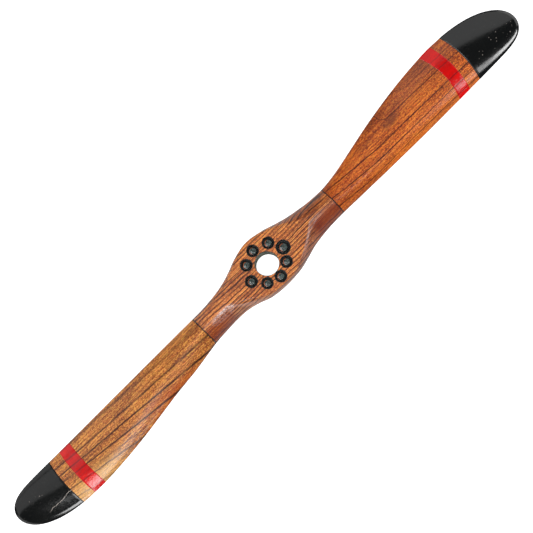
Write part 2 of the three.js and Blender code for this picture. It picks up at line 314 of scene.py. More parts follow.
def turned(profile, sides):
    """Rings of a profile of (radius, height) points turned about Z."""
    angles = np.linspace(0, 2 * np.pi, sides, endpoint=False)
    radius, height = np.asarray(profile, float).T[:, :, None]
    x = radius * np.cos(angles)
    y = radius * np.sin(angles)
    return np.stack([x, y, np.broadcast_to(height, x.shape)], -1)


def arc(cx, cy, radius, degrees):
    """Points of an arc about (cx, cy), one at each of the angles."""
    return [(cx + radius * math.cos(t), cy + radius * math.sin(t)) for t in np.radians(degrees)]


def bolt_place(hole):
    """X and Y of a bolt hole's middle."""
    angle = math.radians(hole[0])
    return hole[1] * math.cos(angle), hole[1] * math.sin(angle)


# ------------------------------------------------------------
# Wood pieces

AROUND = 208
ANGLES = np.linspace(0, 2 * np.pi, AROUND, endpoint=False)
END_ROUND = 0.35
BODY_START = END_ROUND + 1.2
HUB_RING_STEP = 1.3
BLADE_RING_STEP = 2.0
FINE_TIP_START = 522
FINE_TIP_RINGS = 40
WOOD_UNDER_PAINT = 0.12
HOLE_RADIUS = INSERT_RADIUS + INSERT_GAP
HUB_HOLE_DEPTH = 31
BLADE_HOLE_DEPTH = 43
BORE_ROUND = 0.9
BORE_GAP = 0.02
BOLT_HOLE_ROUND = 0.7
BOLT_HOLE_FLOOR = THICKNESS - 12
CUTTER_REACH = 3


def end_rings(x, outward, depth):
    """The square end of a piece at x: its face and the stud hole in it."""
    rim = surface(x, ANGLES)
    turn = np.arctan2(rim[:, 2] - STUD_Z, rim[:, 1])
    hole = np.stack([rim[:, 0], HOLE_RADIUS * np.cos(turn), STUD_Z + HOLE_RADIUS * np.sin(turn)], -1)
    face = surface(x, ANGLES, END_ROUND)
    rings = [face * (1 - share) + hole * share for share in (0.0, 0.06, 0.2, 0.4, 0.6, 0.8, 1.0)]
    for step in (0.25, 1.0, depth * 0.5, depth):
        ring = hole.copy()
        ring[:, 0] = x - outward * step
        rings.append(ring)
    floor = (hole + [x, 0.0, STUD_Z]) * 0.5
    floor[:, 0] = x - outward * depth
    return rings + [floor]


def corner_rings(x, outward):
    """The rounded corner between a piece's side and its square end at x."""
    rings = []
    for share in (0.0, 0.35, 0.7, 1.0):
        turn = share * math.pi / 2
        back = END_ROUND * (1 - math.sin(turn))
        inset = END_ROUND * (1 - math.cos(turn))
        rings.append(surface(x - outward * back, ANGLES, inset))
    return rings


def place_along(start, end, step):
    """Evenly spaced places, about a step apart."""
    return np.linspace(start, end, max(2, int(round(abs(end - start) / step)) + 1))


def towards_tip(start, end, steps):
    """Places that crowd together towards the end."""
    share = np.sin(np.linspace(0, np.pi / 2, steps + 1))
    return start + (end - start) * share


def bore_cutter():
    """Cuts the bore, with a small round at both faces."""
    edge = BORE_OUTER + BORE_GAP + BORE_ROUND
    above = THICKNESS + CUTTER_REACH
    profile = [(0.0, -CUTTER_REACH), (edge, -CUTTER_REACH), (edge, 0.0)]
    profile += arc(edge, BORE_ROUND, BORE_ROUND, [250, 230, 210, 190, 180])
    profile += arc(edge, THICKNESS - BORE_ROUND, BORE_ROUND, [180, 165, 150, 130, 110, 96])
    profile += [(edge + 0.02, above), (0.0, above)]
    return fix_normals(tube_object("cutter", turned(profile, 128), caps=False))


def bolt_hole_cutter(hole):
    """Cuts a bolt hole, with a small round at the front face."""
    edge = hole[2]
    wall = edge - BOLT_HOLE_ROUND
    mouth = THICKNESS - BOLT_HOLE_ROUND
    above = THICKNESS + CUTTER_REACH
    profile = [(0.0, BOLT_HOLE_FLOOR), (wall, BOLT_HOLE_FLOOR), (wall, mouth)]
    profile += arc(edge, mouth, BOLT_HOLE_ROUND, np.linspace(165, 96, 6))
    profile += [(edge + 0.02 * BOLT_HOLE_ROUND, above), (0.0, above)]
    rings = turned(profile, 72) + np.array([*bolt_place(hole), 0.0])
    return fix_normals(tube_object("cutter", rings, caps=False))


def carve(piece, cutters):
    for cutter in cutters:
        step = piece.modifiers.new("cut", "BOOLEAN")
        step.operation = "DIFFERENCE"
        step.solver = "EXACT"
        step.object = cutter
    apply_modifiers(piece)
    for cutter in cutters:
        bpy.data.objects.remove(cutter)


def make_hub():
    end = HUB_END - BODY_START
    rings = end_rings(-HUB_END, -1, HUB_HOLE_DEPTH)[::-1]
    rings += corner_rings(-HUB_END, -1)[::-1][1:]
    rings += [surface(x, ANGLES) for x in place_along(-end, end, HUB_RING_STEP)]
    rings += corner_rings(HUB_END, 1)[:-1]
    rings += end_rings(HUB_END, 1, HUB_HOLE_DEPTH)
    hub = fix_normals(tube_object("hub_wood", rings))
    carve(hub, [bore_cutter()] + [bolt_hole_cutter(hole) for hole in BOLT_HOLES])
    sharpen(hub, 32)
    step = hub.modifiers.new("normals", "WEIGHTED_NORMAL")
    step.keep_sharp = True
    step.weight = 100
    apply_modifiers(hub)
    return hub


def make_blade(side):
    sign = SIGN[side]
    body = place_along(BLADE_ROOT + BODY_START, FINE_TIP_START - BLADE_RING_STEP, BLADE_RING_STEP)
    tip = towards_tip(FINE_TIP_START, HALF_SPAN - 0.25, FINE_TIP_RINGS)
    places = np.concatenate([body, tip])
    insets = np.where(places > max(PAINT[side]["tip"]) + 3, WOOD_UNDER_PAINT, 0.0)
    rings = end_rings(BLADE_ROOT * sign, -sign, BLADE_HOLE_DEPTH)[::-1]
    rings += corner_rings(BLADE_ROOT * sign, -sign)[::-1][1:]
    rings += [surface(x * sign, ANGLES, inset) for x, inset in zip(places, insets)]
    blade = fix_normals(tube_object(f"{side}_blade_wood", rings))
    return sharpen(blade, 40)


# ------------------------------------------------------------
# Paint films

FILM = 0.16
FILM_EDGE = 0.05
FILM_UNDERSIDE = 0.3
TIP_FILM_STEPS = 60
STRIPE_FILM_STEPS = 16
BRUSH_WANDER = 0.35


def wavy(seed, size):
    """A slow hand-brushed wander of a paint line round the blade."""
    source = np.random.default_rng(seed)
    total = np.zeros_like(ANGLES)
    for k in range(1, 7):
        total += source.normal() / k * np.cos(k * ANGLES + source.uniform(0, 6.3))
    return size * total


def film_object(name, start, end, closed_tip):
    """A thin skin of paint over the wood between two lines round the blade."""
    if closed_tip:
        shares = towards_tip(0.0, 1.0, TIP_FILM_STEPS)
    else:
        shares = np.linspace(0, 1, STRIPE_FILM_STEPS + 1)
    insets = np.full(len(shares), -FILM)
    insets[0] = FILM_EDGE
    if not closed_tip:
        insets[-1] = FILM_EDGE

    def ring(share, inset):
        return surface(start + (end - start) * share, ANGLES, inset)

    outer = [ring(share, inset) for share, inset in zip(shares, insets)]
    if closed_tip:
        return fix_normals(tube_object(name, [ring(0.004, FILM_UNDERSIDE)] + outer))
    inner = [ring(share, FILM_UNDERSIDE) for share in (0.996, 0.004)]
    return fix_normals(tube_object(name, outer + inner, closed=True))


def make_paint(side):
    sign = SIGN[side]
    across = np.cos(ANGLES)
    lines = []
    for number, (low_y, middle, high_y) in enumerate(PAINT[side].values()):
        bow = middle + (high_y - low_y) / 2 * across + ((high_y + low_y) / 2 - middle) * across**2
        lines.append(bow + wavy(PAINT_SEED[side] + number, BRUSH_WANDER))
    inner, outer, tip = lines
    stripe = film_object(f"{side}_stripe_film", sign * inner, sign * outer, False)
    end = np.full_like(ANGLES, HALF_SPAN)
    cap = film_object(f"{side}_tip_film", sign * tip, sign * end, True)
    return stripe, cap


# ------------------------------------------------------------
# Turned pieces

BORE_FILM = 0.4
BORE_FILM_END = 1.2

PLUG_SIDES = 72
PLUG_SEED = 100
PLUG_TILT = 0.02
PLUG_FOOT = 0.86
PLUG_BROW = 0.76
LEDGE_DROP = 3.4
LEDGE_ROUND = 0.5
BROW_DROP = 1.9
BROW_ROUND = 1.1

THREAD_PITCH = 1.5
THREAD_DEPTH = 0.8
THREAD_SIDES = 40
CENTRE_MARK = ((1.2, 0.5), (1.8, 0.0))
INSERT_CHAMFER = 0.5


def make_bore_paint():
    inner = BORE_OUTER - BORE_FILM
    middle = inner + BORE_ROUND
    low, high = BORE_FILM_END, THICKNESS - BORE_FILM_END
    profile = [(inner, low), (inner, high)]
    profile += arc(middle, high, BORE_ROUND, [160, 135, 110, 90])
    profile += [(BORE_OUTER, THICKNESS - BORE_ROUND), (BORE_OUTER, BORE_ROUND)]
    profile += arc(middle, low, BORE_ROUND, [270, 250, 225, 200])
    return sharpen(fix_normals(tube_object("bore_paint_film", turned(profile, 128), closed=True)), 50)


def plug_profile(radius, base, crown):
    """A plug from its base to its crown: a cylinder, a ledge and a dome with a rounded brow."""
    ledge = crown - LEDGE_DROP
    shoulder = ledge - LEDGE_ROUND
    brow_height = crown - BROW_DROP
    foot = radius * PLUG_FOOT
    brow = radius * PLUG_BROW
    profile = [(0.0, base), (radius - 0.2, base), (radius, base + 0.2), (radius, shoulder)]
    profile += arc(radius - LEDGE_ROUND, shoulder, LEDGE_ROUND, np.linspace(12, 90, 6))
    profile += [(foot + 0.3, ledge), (foot, ledge + 0.4), (brow + 0.55, brow_height)]
    profile += arc(brow - 0.7, brow_height, BROW_ROUND, np.linspace(8, 62, 6))
    inner, rim = profile[-1]
    for t in np.linspace(0.04, 0.98, 12):
        profile.append((inner * (1 - t), rim + (crown - rim) * math.sin(t * math.pi / 2)))
    return profile + [(0.0, crown)]


def make_plug(index, hole):
    """A false bolt, a little out of round and a little askew."""
    low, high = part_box(f"bolt_plug_{index}")
    radius = (high.x - low.x) / 2 / MM
    rings = turned(plug_profile(radius, low.z / MM, high.z / MM), PLUG_SIDES)
    source = np.random.default_rng(PLUG_SEED + index)
    angles = np.linspace(0, 2 * np.pi, PLUG_SIDES, endpoint=False)
    uneven = 1 + 0.012 * np.cos(2 * angles + source.uniform(0, 6))
    uneven += 0.008 * np.cos(5 * angles + source.uniform(0, 6))
    rings[..., :2] *= uneven[:, None]
    tilt = source.normal(0, PLUG_TILT, 2)
    rings[..., 2] += rings[..., 0] * tilt[0] + rings[..., 1] * tilt[1]
    rings += np.array([*bolt_place(hole), 0.0])
    return fix_normals(tube_object(f"bolt_plug_{index}_turned", rings, caps=False))


def disc(radius, z):
    """A ring of points about Z. The radius is one number or one for each point."""
    angles = np.linspace(0, 2 * np.pi, THREAD_SIDES, endpoint=False)
    return np.stack([radius * np.cos(angles), radius * np.sin(angles), np.full(THREAD_SIDES, z)], -1)


def thread_rings(radius, depth, start, end, rings_a_turn):
    """Rings of a screw thread about Z. The profile runs as a helix, faded out at both ends."""
    turns = np.linspace(0, 1, THREAD_SIDES, endpoint=False)
    steps = int((end - start) / THREAD_PITCH * rings_a_turn)
    rings = []
    for z in np.linspace(start, end, steps + 1):
        phase = (z / THREAD_PITCH - turns) % 1.0
        groove = 1 - np.abs(2 * phase - 1)
        fade = np.clip(min(z - start, end - z) / THREAD_PITCH, 0, 1)
        rings.append(disc(radius - depth * groove * fade - (1 - fade) * depth * 0.5, z))
    return rings


def along_stud(rings, sign):
    """Turns rings about Z into rings along the span, with their height measured outward."""
    rings = np.asarray(rings, float)
    out = np.empty_like(rings)
    out[..., 0] = sign * rings[..., 2]
    out[..., 1] = rings[..., 0]
    out[..., 2] = rings[..., 1] + STUD_Z
    return out


def make_stud(side):
    start = STUD_LOW.x / MM
    end = STUD_HIGH.x / MM
    radius = STUD_RADIUS + 0.15
    face = [*CENTRE_MARK, (radius - 1.1, 0.0), (radius - 0.8, 0.1)]
    rings = [disc(r, start + depth) for r, depth in face]
    rings += thread_rings(radius, THREAD_DEPTH, start + 0.9, end - 0.9, 8)
    rings += [disc(r, end - depth) for r, depth in reversed(face)]
    piece = tube_object(f"{side}_stud_threaded", along_stud(rings, SIGN[side]))
    return sharpen(fix_normals(piece), 50)


def make_insert(side, node):
    low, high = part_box(f"right_{node}")
    start = low.x / MM
    end = high.x / MM
    outer = (high.z - low.z) / 2 / MM
    inner = outer - INSERT_CHAMFER
    bore = STUD_RADIUS + 0.5
    rings = [disc(bore + 0.5, start), disc(inner, start), disc(outer, start + INSERT_CHAMFER)]
    rings += [disc(outer, end - INSERT_CHAMFER), disc(inner, end), disc(bore + 0.6, end)]
    rings += thread_rings(bore, -THREAD_DEPTH * 0.5, start + 0.6, end - 0.6, 6)[::-1]
    piece = tube_object(f"{side}_{node}_turned", along_stud(rings, SIGN[side]), closed=True)
    return sharpen(fix_normals(piece), 50)


# ------------------------------------------------------------
# Materials. Places and lengths in masks are metres in the part's frame.

# Growth lines: where each dark line crosses a reference section, in millimetres of Y, and how
# dark it is. The lines of the left blade fan out from the tip towards the hub.
GROWTH_LINES = {
    "left": [(23.0, 0.55), (10.5, 0.9), (-1, 1.0), (-12.5, 1.0), (-22, 0.3), (-30, 0.8), (-48, 0.6)],
    "right": [(45, 0.6), (36, 0.4), (28.5, 0.85), (2.7, 1.0), (-14.2, 1.0), (-31, 0.85)],
}
LINE_HALF_WIDTH = {"left": 1.05, "right": 0.9}
RAMP_HALF = 80.0

# Where the right blade's lines curl back: X where it starts and ends, Y where it fades in, rise.
CURLS = [(326.0, 298.0, 18.0, 34.0, 16.0), (388.0, 357.0, 38.0, 50.0, 9.0)]

# Darker figure in the right blade: X and Y of the middle, half length, half width, strength.
SMUDGES = [
    (322, 22, 26, 9, 0.75),
    (256, 24, 26, 7, 0.45),
    (214, 18, 20, 7, 0.35),
    (410, 54, 60, 7, 0.35),
]

# X and Y of the middle, half length, half width: where specks of dust show most in the black
# paint, and where a painted highlight lies on the left shank.
SPECKS = {"left": (-562, -1, 18, 8), "right": (550, -6, 42, 11)}
GLOSS_PATCH = (-112, -8, 26, 9)

# The leaf-shaped flat face of the hub, in millimetres.
LEAF_HALF_LENGTH = 100.0
LEAF_HALF_WIDTH = 47.5
LEAF_POWER = 1.7

# How far from a seam its stain ends and is whole, in metres.
SEAM_STAIN = (0.0017, 0.0012)
DUST_SCALE = 210.0


class Graph:
    """Short ways to write a material's nodes."""

    def __init__(self, name):
        self.material = bpy.data.materials.new(name)
        self.material.use_nodes = True
        self.tree = self.material.node_tree
        self.tree.nodes.clear()
        self.output = self.tree.nodes.new("ShaderNodeOutputMaterial")
        self.shader = self.tree.nodes.new("ShaderNodeBsdfPrincipled")
        self.link(self.shader.outputs[0], self.output.inputs[0])
        coordinates = self.tree.nodes.new("ShaderNodeTexCoord")
        self.place = coordinates.outputs["Object"]
        self.facing = coordinates.outputs["Normal"]

    def link(self, source, target):
        self.tree.links.new(source, target)

    def feed(self, socket, value):
        if isinstance(value, bpy.types.NodeSocket):
            self.link(value, socket)
        else:
            socket.default_value = value

    def math(self, operation, a, b=0.0, c=0.0, clamp=False):
        node = self.tree.nodes.new("ShaderNodeMath")
        node.operation = operation
        node.use_clamp = clamp
        for socket, value in zip(node.inputs, (a, b, c)):
            self.feed(socket, value)
        return node.outputs[0]

    def plus(self, a, b):
        return self.math("ADD", a, b)

    def minus(self, a, b):
        return self.math("SUBTRACT", a, b)

    def times(self, first, *others):
        for other in others:
            first = self.math("MULTIPLY", first, other)
        return first

    def times_plus(self, a, b, c):
        return self.math("MULTIPLY_ADD", a, b, c)

    def size(self, a):
        return self.math("ABSOLUTE", a)

    def split(self, vector):
        node = self.tree.nodes.new("ShaderNodeSeparateXYZ")
        self.feed(node.inputs[0], vector)
        return node.outputs[0], node.outputs[1], node.outputs[2]

    def join(self, x, y, z):
        node = self.tree.nodes.new("ShaderNodeCombineXYZ")
        for socket, value in zip(node.inputs, (x, y, z)):
            self.feed(socket, value)
        return node.outputs[0]

    def noise(self, vector, scale, detail=2.0, roughness=0.5, distortion=0.0):
        node = self.tree.nodes.new("ShaderNodeTexNoise")
        self.feed(node.inputs["Vector"], vector)
        node.inputs["Scale"].default_value = scale
        node.inputs["Detail"].default_value = detail
        node.inputs["Roughness"].default_value = roughness
        node.inputs["Distortion"].default_value = distortion
        return node.outputs["Fac"]

    def grain(self, scales, *settings):
        """Noise with a scale of its own along each of X, Y and Z."""
        node = self.tree.nodes.new("ShaderNodeVectorMath")
        node.operation = "MULTIPLY"
        self.link(self.place, node.inputs[0])
        node.inputs[1].default_value = scales
        return self.noise(node.outputs[0], 1.0, *settings)

    def step(self, value, low, high, out_low=0.0, out_high=1.0):
        node = self.tree.nodes.new("ShaderNodeMapRange")
        node.interpolation_type = "SMOOTHSTEP"
        for socket, item in zip(node.inputs, (value, low, high, out_low, out_high)):
            self.feed(socket, item)
        return node.outputs[0]

    def ramp(self, value, stops):
        node = self.tree.nodes.new("ShaderNodeValToRGB")
        self.feed(node.inputs[0], value)
        elements = node.color_ramp.elements
        while len(elements) < len(stops):
            elements.new(0.5)
        for element, (position, colour) in zip(elements, stops):
            element.position = position
            element.color = (*colour, 1.0) if isinstance(colour, tuple) else (colour,) * 3 + (1.0,)
        return node.outputs[0]

    def mix(self, factor, a, b, blend="MIX"):
        node = self.tree.nodes.new("ShaderNodeMix")
        node.data_type = "RGBA"
        node.blend_type = blend
        node.clamp_factor = True
        self.feed(node.inputs["Factor"], factor)
        for socket, value in ((node.inputs[6], a), (node.inputs[7], b)):
            self.feed(socket, (*value, 1.0) if isinstance(value, tuple) else value)
        return node.outputs[2]

    def bump(self, height, distance, strength):
        node = self.tree.nodes.new("ShaderNodeBump")
        node.inputs["Strength"].default_value = strength
        node.inputs["Distance"].default_value = distance
        self.feed(node.inputs["Height"], height)
        return node.outputs[0]

    def set(self, **values):
        for name, value in values.items():
            self.feed(self.shader.inputs[name.replace("_", " ")], value)


def srgb(red, green, blue):
    """A colour given as 0 to 255 screen values, as linear light."""
    def one(value):
        value /= 255
        return value / 12.92 if value <= 0.04045 else ((value + 0.055) / 1.055) ** 2.4
    return (one(red), one(green), one(blue))


def ellipse(g, x, y, place, wander):
    """Under 1 inside an ellipse whose outline wanders. Its place is in millimetres."""
    mx, my, long, wide = place
    dx = g.math("DIVIDE", g.minus(x, mx * MM), long * MM)
    dy = g.math("DIVIDE", g.minus(y, my * MM), wide * MM)
    return g.times_plus(wander, 1.6, g.plus(g.times(dx, dx), g.times(dy, dy)))


def growth_coordinate(g, side):
    """Where a point lies across the growth lines, in millimetres, for one blade."""
    x_mm, y_mm, z_mm = (g.times(part, 1000.0) for part in g.split(g.place))
    wander = g.grain((6.0, 12.0, 12.0), 2.0)
    wobble = g.grain((60.0, 40.0, 40.0), 3.0, 0.6)
    shift = g.times_plus(g.minus(wobble, 0.5), 2.4, g.times(g.minus(wander, 0.5), 3.6))
    across = g.plus(g.times_plus(z_mm, 0.12, g.minus(y_mm, 2.9)), shift)
    under = g.math("MINIMUM", g.minus(z_mm, 16.0), 0.0)
    across = g.times_plus(under, 0.5, across)
    if side == "left":
        reach = g.plus(x_mm, 499.0)
        across = g.times_plus(reach, 0.097, across)
        return g.math("DIVIDE", across, g.times_plus(reach, 0.00267, 1.0))
    root = g.math("POWER", g.step(x_mm, 300.0, 120.0), 1.6)
    across = g.times_plus(root, -7.5, across)
    for start, end, low, high, rise in CURLS:
        curl = g.times(g.math("POWER", g.step(x_mm, start, end), 2.0), g.step(y_mm, low, high))
        across = g.times_plus(curl, -rise, across)
    return g.times_plus(g.minus(x_mm, 384.0), 0.034, across)


def growth_lines(g, side, across):
    """1 on a dark growth line and 0 between lines."""
    half = LINE_HALF_WIDTH[side] / (2 * RAMP_HALF)
    stops = []
    for centre, dark in sorted(GROWTH_LINES[side]):
        middle = 0.5 + centre / (2 * RAMP_HALF)
        for offset, value in ((-1.3, 0.0), (-0.4, dark), (0.4, dark), (1.7, 0.0)):
            stops.append((middle + offset * half, value))
    return g.ramp(g.times_plus(across, 1 / (2 * RAMP_HALF), 0.5), stops)


def growth_rings(g, across, spacing, sway, start, peak):
    """Regular growth rings: dark towards the end of each one. Across is in millimetres."""
    share = g.math("FRACT", g.times_plus(across, 1 / spacing, sway))
    return g.times(g.step(share, start, peak), g.step(share, 0.995, peak + 0.03))


def fibres(g):
    """Fine grain along the span: soft streaks, short flecks, pores and broad cloudy figure."""
    streak = g.grain((11.0, 400.0, 400.0), 3.0, 0.6)
    fleck = g.grain((300.0, 680.0, 680.0), 2.0, 0.75)
    pore = g.grain((90.0, 760.0, 760.0), 2.0, 0.6)
    cloud = g.grain((9.0, 32.0, 32.0), 3.0, 0.6, 0.6)
    return streak, fleck, g.step(pore, 0.57, 0.66), cloud


def wood_colour(g, grain, speckle, pale, mid, deep, hues):
    """Wood without its dark lines: pale and deep fibres, some rosy and some olive."""
    streak, fleck, _, cloud = grain
    tone = g.times_plus(g.minus(fleck, 0.5), speckle, 0.5)
    tone = g.times_plus(g.minus(streak, 0.5), 0.9, tone)
    tone = g.times_plus(g.minus(cloud, 0.5), 0.4, tone)
    colour = g.ramp(tone, [(0.3, deep), (0.5, mid), (0.7, pale)])
    hue = g.grain((150.0, 430.0, 430.0), 2.0, 0.6)
    tint = g.ramp(hue, [(0.36, (1.0, 0.78, 0.76)), (0.5, (1.0, 1.0, 1.0)), (0.64, (0.97, 1.08, 0.82))])
    return g.mix(hues, colour, tint, "MULTIPLY")


def wood_height(g, grain, line):
    """Relief under the varnish: pores and dark lines are low."""
    streak, _, pore, _ = grain
    return g.minus(g.times(streak, 0.5), g.times_plus(pore, 0.7, line))


def varnish(g, height, roughness, coat, coat_roughness=0.12, relief=0.00035):
    g.set(
        Roughness=roughness,
        Coat_Weight=coat,
        Coat_Roughness=coat_roughness,
        Coat_IOR=1.5,
        Specular_IOR_Level=0.16,
        Normal=g.bump(height, relief, 0.5),
    )


def seam_mask(g, x, wander):
    """1 on the rim of a joint between hub and blade, where the stain has gathered."""
    off = g.size(g.minus(g.size(x), SEAM * MM))
    rim = g.step(g.times_plus(wander, 0.0008, off), *SEAM_STAIN)
    along = g.size(g.split(g.facing)[0])
    return g.times(rim, g.step(along, 0.95, 0.75))


def left_figure(g, colour, x, y, across):
    """Paler gold by the tip's -Y edge, and below the middle line by the root redder wood with painted
    shade where the face tilts to -Y.
    """
    gold = g.times(g.step(y, -0.02, -0.05), g.step(x, -0.36, -0.44))
    colour = g.mix(g.times(gold, 0.45), colour, srgb(222, 176, 92))
    # Painted shade over redder wood: the -Y face by the root, which tilts away from the light, is drawn
    # darker and redder.
    red_and_root_shade = g.times(g.step(across, -0.5, -9.0), g.step(x, -0.37, -0.26))
    return g.mix(g.times(red_and_root_shade, 0.55), colour, srgb(160, 62, 18))


def right_figure(g, colour, x, y, cloud):
    """Darker, browner wood and painted shade by the +Y edge, brighter orange wood and painted light by
    the other, smudges and a red root.
    """
    outer = g.step(g.size(x), 0.19, 0.34)
    # Painted shade over browner wood: the outer +Y half, whose face tilts away from the light, is drawn
    # darker.
    shaded_top_half = g.times(g.step(g.times_plus(cloud, 0.03, y), 0.018, 0.056), outer)
    colour = g.mix(g.times(shaded_top_half, 0.45), colour, srgb(112, 54, 30))
    # Painted light over orange wood: the outer -Y half, which faces the light, is drawn brighter
    # orange.
    lit_low_half = g.times(g.step(y, -0.004, -0.03), outer)
    colour = g.mix(g.times(lit_low_half, 0.3), colour, srgb(224, 122, 40))
    smudge = 0.0
    for *place, strength in SMUDGES:
        here = g.step(ellipse(g, x, y, place, cloud), 1.9, 0.7, 0.0, strength)
        smudge = g.math("MAXIMUM", smudge, here)
    colour = g.mix(smudge, colour, srgb(96, 46, 28))
    return g.mix(g.step(x, 0.3, 0.17, 0.0, 0.3), colour, srgb(136, 52, 22))


def blade_wood(side):
    g = Graph(f"{side}_blade_varnished_wood")
    x, y, _ = g.split(g.place)
    across = growth_coordinate(g, side)
    line = growth_lines(g, side, across)
    grain = fibres(g)
    _, fleck, pore, cloud = grain
    if side == "left":
        tones = srgb(221, 151, 73), srgb(178, 106, 50), srgb(106, 52, 28)
        colour = left_figure(g, wood_colour(g, grain, 1.45, *tones, 0.8), x, y, across)
    else:
        tones = srgb(228, 129, 48), srgb(186, 87, 30), srgb(104, 39, 17)
        colour = right_figure(g, wood_colour(g, grain, 1.45, *tones, 0.8), x, y, cloud)
    fine = growth_rings(g, across, 4.2, g.times(g.grain((6.0, 20.0, 20.0), 2.0), 2.0), 0.5, 0.9)
    fade = g.step(g.grain((12.0, 45.0, 45.0), 2.0), 0.38, 0.66, 0.0, 0.6)
    colour = g.mix(g.times(fine, fade), colour, srgb(96, 44, 26))
    broken = g.step(g.grain((30.0, 90.0, 90.0), 2.0), 0.3, 0.5, 0.7, 1.0)
    colour = g.mix(g.times(line, broken), colour, srgb(42, 16, 12))
    colour = g.mix(g.times(pore, 0.5), colour, srgb(86, 42, 24))
    g.set(Base_Color=g.mix(seam_mask(g, x, fleck), colour, srgb(24, 14, 10)))
    height = wood_height(g, grain, line)
    roughness = g.step(fleck, 0.3, 0.7, 0.34, 0.5)
    if side == "left":
        varnish(g, height, roughness, g.step(x, -0.25, -0.33, 0.05, 0.6), 0.2)
    else:
        varnish(g, height, roughness, g.step(x, 0.3, 0.38, 0.05, 0.3))
    return g.material


def hole_mask(g, wander):
    """1 inside the painted rim of any bolt hole, with an edge that wanders as a brush does."""
    x, y, z = g.split(g.place)
    flat = g.join(x, y, 0.0)
    nearest = 1.0
    for hole in BOLT_HOLES:
        hx, hy = bolt_place(hole)
        node = g.tree.nodes.new("ShaderNodeVectorMath")
        node.operation = "DISTANCE"
        g.link(flat, node.inputs[0])
        node.inputs[1].default_value = (hx * MM, hy * MM, 0.0)
        outside = g.minus(node.outputs["Value"], hole[2] * MM)
        nearest = g.math("MINIMUM", nearest, outside)
    edge = g.times_plus(g.minus(wander, 0.5), 0.0022, nearest)
    above_floor = g.step(z, (BOLT_HOLE_FLOOR - 1) * MM, (BOLT_HOLE_FLOOR - 0.4) * MM)
    return g.times(g.step(edge, 0.0009, 0.0003), above_floor)


def below_leaf(g, far, y):
    """How far a point lies beyond the -Y edge of the hub's leaf-shaped face, in metres."""
    leaf = g.math("POWER", g.times(far, 1000.0 / LEAF_HALF_LENGTH), LEAF_POWER)
    leaf = g.math("SUBTRACT", 1.0, leaf, clamp=True)
    return g.minus(g.times(leaf, -LEAF_HALF_WIDTH * MM), y)


def hub_lines(g, colour, pore, x, y, z):
    """Draws the hub's wide and thin growth rings and its pores."""
    sway = g.grain((6.0, 16.0, 16.0), 1.0)
    sway = g.times_plus(g.grain((34.0, 60.0, 60.0), 2.0), 0.3, sway)
    across = g.times_plus(z, 350.0, g.times_plus(x, 20.0, g.times(y, 1000.0)))
    wide = growth_rings(g, across, 5.9, g.times(sway, 2.6), 0.4, 0.84)
    thin = growth_rings(g, across, 2.7, g.times(sway, 5.0), 0.4, 0.85)
    some = g.step(g.grain((8.0, 55.0, 55.0), 2.0), 0.36, 0.58, 0.3, 1.0)
    colour = g.mix(g.times(wide, some), colour, srgb(46, 17, 15))
    few = g.step(g.grain((10.0, 70.0, 70.0), 2.0), 0.4, 0.6, 0.1, 0.8)
    colour = g.mix(g.times(thin, few), colour, srgb(80, 34, 24))
    return g.mix(g.times(pore, 0.5), colour, srgb(70, 34, 20)), wide


def ridge_flank_shade(g, x, y, far):
    """1 on the flanks beyond the leaf's +Y edge, weaker on the left and by the right seam: where
    painted shade darkens them.
    """
    over = g.times_plus(far, 0.72, y)
    over = g.times(g.step(over, 0.0765, 0.0785), g.step(y, 0.0005, 0.003))
    return g.times(over, g.step(x, -0.02, 0.02, 0.25, 1.0), g.step(x, 0.15, 0.11, 0.35, 1.0))


def shank_sides(g, colour, grain, x, y, far):
    """A painted highlight on the left shank, and the steep -Y side of both shanks drawn red-brown over
    stain and darkened with painted shade.
    """
    streak, fleck, _, cloud = grain
    # Painted highlight: a pale glossy patch on the left shank's facet, drawn into the colour.
    painted_gloss_patch = g.step(ellipse(g, x, y, GLOSS_PATCH, g.minus(cloud, 0.5)), 1.3, 0.6)
    painted_gloss_patch = g.times(painted_gloss_patch, g.step(fleck, 0.46, 0.6), 0.5)
    colour = g.mix(painted_gloss_patch, colour, srgb(226, 214, 214))
    # Stain and painted shade: the steep -Y sides of the shanks are drawn redder, then darkened.
    steep = g.times(g.step(y, -0.004, -0.01), g.step(far, 0.09, 0.108))
    steep = g.times(steep, g.step(g.plus(streak, fleck), 0.75, 1.2, 0.5, 1.0))
    colour = g.mix(g.times(steep, g.step(x, -0.05, 0.05, 0.45, 0.75)), colour, srgb(112, 24, 8))
    return g.mix(steep, colour, (0.8, 0.62, 0.54), "MULTIPLY")


